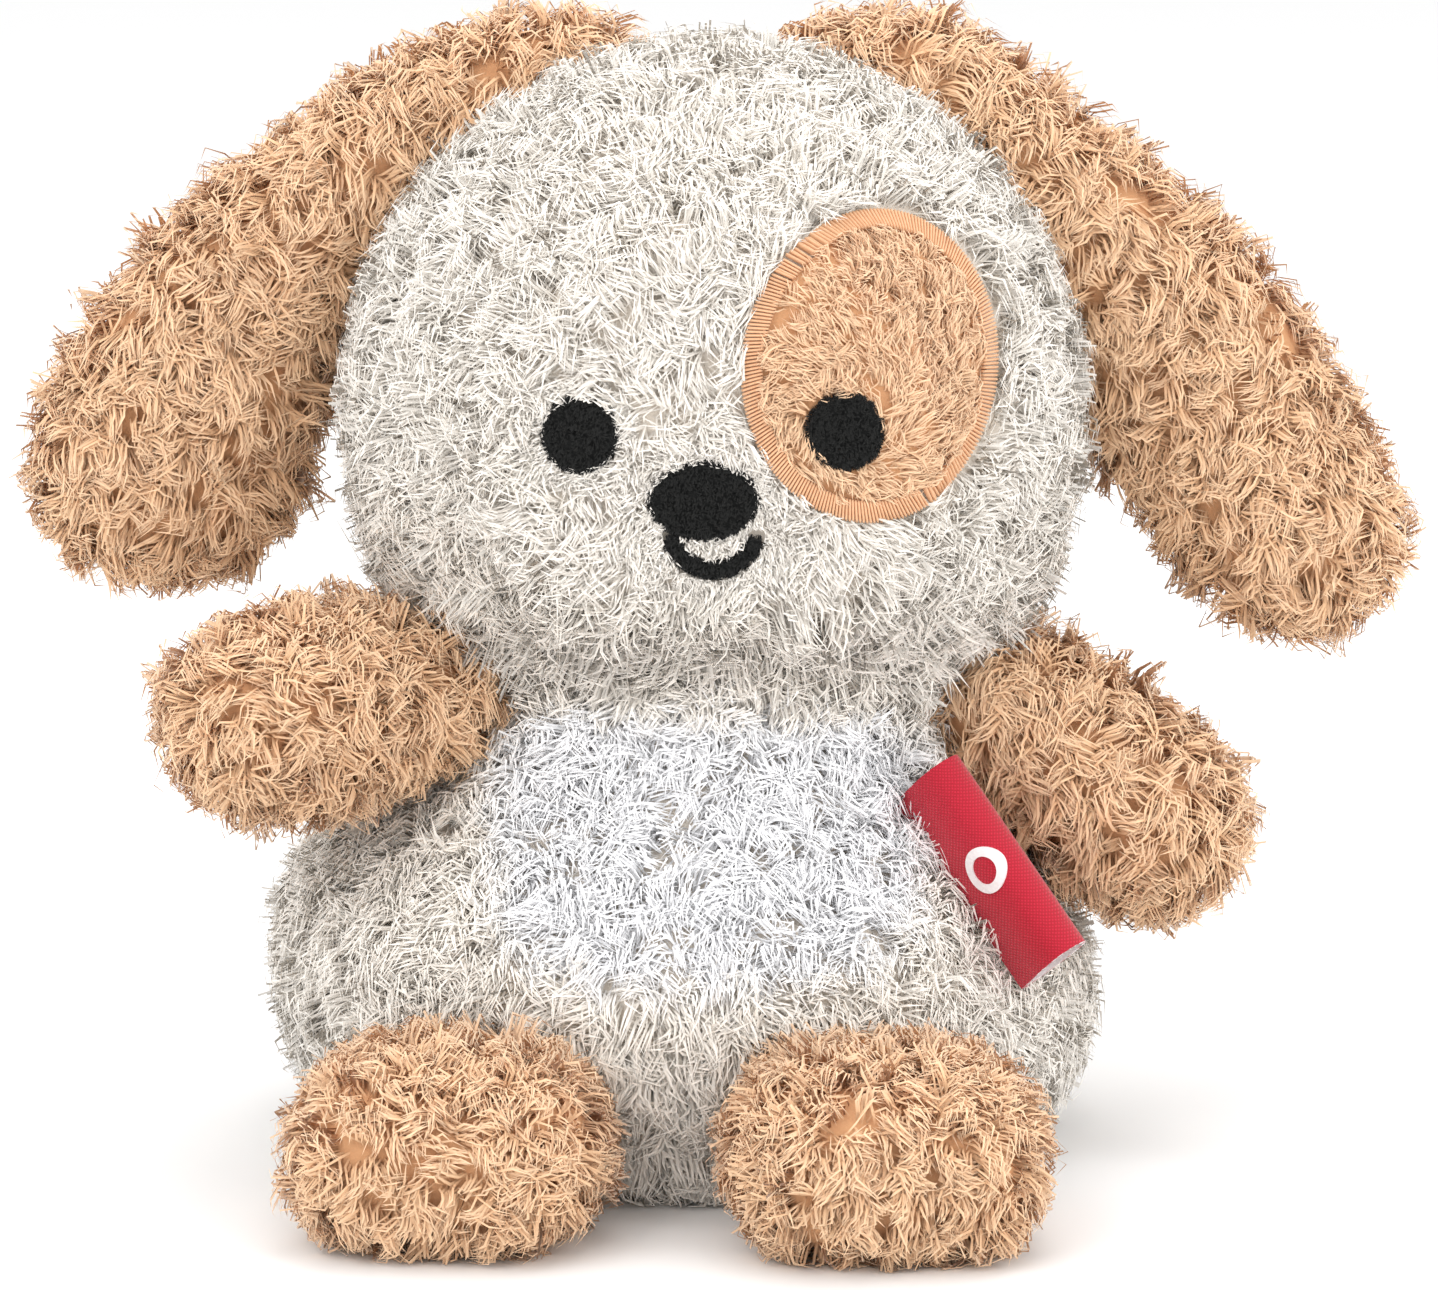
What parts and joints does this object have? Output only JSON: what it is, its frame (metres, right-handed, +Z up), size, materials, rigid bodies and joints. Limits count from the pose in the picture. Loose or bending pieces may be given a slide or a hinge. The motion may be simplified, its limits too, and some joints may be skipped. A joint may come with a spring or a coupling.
{
  "type": "plush dog",
  "caption": "Small sitting plush dog with long floppy ears, a ringed patch over one eye, short arms and feet, and a folded red side label.",
  "frame": {"origin": "middle of the flat base panel, on the surface that the dog sits on", "axes": "+Z up, the dog faces -Y, its left side is +X"},
  "size_m": [0.2074, 0.1806, 0.1686],
  "materials": {
    "cream_plush": "fine cream pile",
    "tan_plush": "curly tan pile",
    "base_plush": "short cream pile",
    "fibre_fill": "loose polyester fibre",
    "pouch_cloth": "thin woven cloth",
    "pellet_plastic": "smooth",
    "black_thread": "filled embroidery",
    "peach_thread": "satin stitch",
    "closing_thread": "twisted thread",
    "red_ribbon": "woven ribbon",
    "white_thread": "woven motif"
  },
  "bodies": {
    "torso": {"torso_front_panel": "cream_plush", "torso_back_left_panel": "cream_plush", "torso_back_right_panel": "cream_plush", "torso_base_panel": "base_plush", "torso_fill": "fibre_fill", "pellet_pouch": "pouch_cloth", "pellets": "pellet_plastic", "closing_stitches": "closing_thread"},
    "head": {"head_face_panel": "cream_plush", "head_back_left_panel": "cream_plush", "head_back_right_panel": "cream_plush", "head_fill": "fibre_fill", "eye_patch": "tan_plush", "eye_patch_border": "peach_thread", "eye_left": "black_thread", "eye_right": "black_thread", "nose": "black_thread", "mouth": "black_thread"},
    "ear_left": {"ear_left_front_panel": "tan_plush", "ear_left_back_panel": "tan_plush", "ear_left_fill": "fibre_fill"},
    "ear_right": {"ear_right_front_panel": "tan_plush", "ear_right_back_panel": "tan_plush", "ear_right_fill": "fibre_fill"},
    "arm_left": {"arm_left_upper_panel": "tan_plush", "arm_left_under_panel": "tan_plush", "arm_left_fill": "fibre_fill"},
    "arm_right": {"arm_right_upper_panel": "tan_plush", "arm_right_under_panel": "tan_plush", "arm_right_fill": "fibre_fill"},
    "foot_left": {"foot_left_top_panel": "tan_plush", "foot_left_sole_panel": "tan_plush", "foot_left_fill": "fibre_fill"},
    "foot_right": {"foot_right_top_panel": "tan_plush", "foot_right_sole_panel": "tan_plush", "foot_right_fill": "fibre_fill"},
    "tail": {"tail_left_panel": "tan_plush", "tail_right_panel": "tan_plush", "tail_fill": "fibre_fill"},
    "label": {"label_ribbon": "red_ribbon", "label_motif": "white_thread"}
  },
  "joints": [
    {"name": "head_nod", "type": "hinge", "parent": "torso", "child": "head", "pos_m": [0.00682, 0, 0.078], "axis": [1, 0, 0], "range_deg": [-6, 6], "stiffness_Nm_per_rad": 0.15},
    {"name": "ear_left_lift", "type": "hinge", "parent": "head", "child": "ear_left", "pos_m": [0.02382, 0.0104, 0.1585], "axis": [0, -1, 0], "range_deg": [0, 50]},
    {"name": "ear_right_lift", "type": "hinge", "parent": "head", "child": "ear_right", "pos_m": [-0.01018, 0.0104, 0.1585], "axis": [0, 1, 0], "range_deg": [0, 50]},
    {"name": "arm_left_raise", "type": "hinge", "parent": "torso", "child": "arm_left", "pos_m": [0.05019, -0.00511, 0.06665], "axis": [-0.135, -0.9858, 0.1003], "range_deg": [-8, 20], "stiffness_Nm_per_rad": 0.06},
    {"name": "arm_right_raise", "type": "hinge", "parent": "torso", "child": "arm_right", "pos_m": [-0.0364, -0.01618, 0.0708], "axis": [-0.5584, 0.8293, -0.0235], "range_deg": [-18, 8], "stiffness_Nm_per_rad": 0.06},
    {"name": "foot_left_lift", "type": "hinge", "parent": "torso", "child": "foot_left", "pos_m": [0.03, -0.06, 0.0135], "axis": [-0.9945, -0.1045, 0], "range_deg": [0, 30]},
    {"name": "foot_right_lift", "type": "hinge", "parent": "torso", "child": "foot_right", "pos_m": [-0.03, -0.05606, 0.0135], "axis": [-0.9945, 0.1045, 0], "range_deg": [0, 30]},
    {"name": "tail_wag", "type": "hinge", "parent": "torso", "child": "tail", "pos_m": [0, 0.06494, 0.026], "axis": [0, -0.2419, 0.9703], "range_deg": [-25, 25], "stiffness_Nm_per_rad": 0.03},
    {"name": "label_flap", "type": "hinge", "parent": "torso", "child": "label", "pos_m": [0.04396, -0.03191, 0.04261], "axis": [0.554, -0.313, -0.7714], "range_deg": [-20, 20], "stiffness_Nm_per_rad": 0.002}
  ]
}
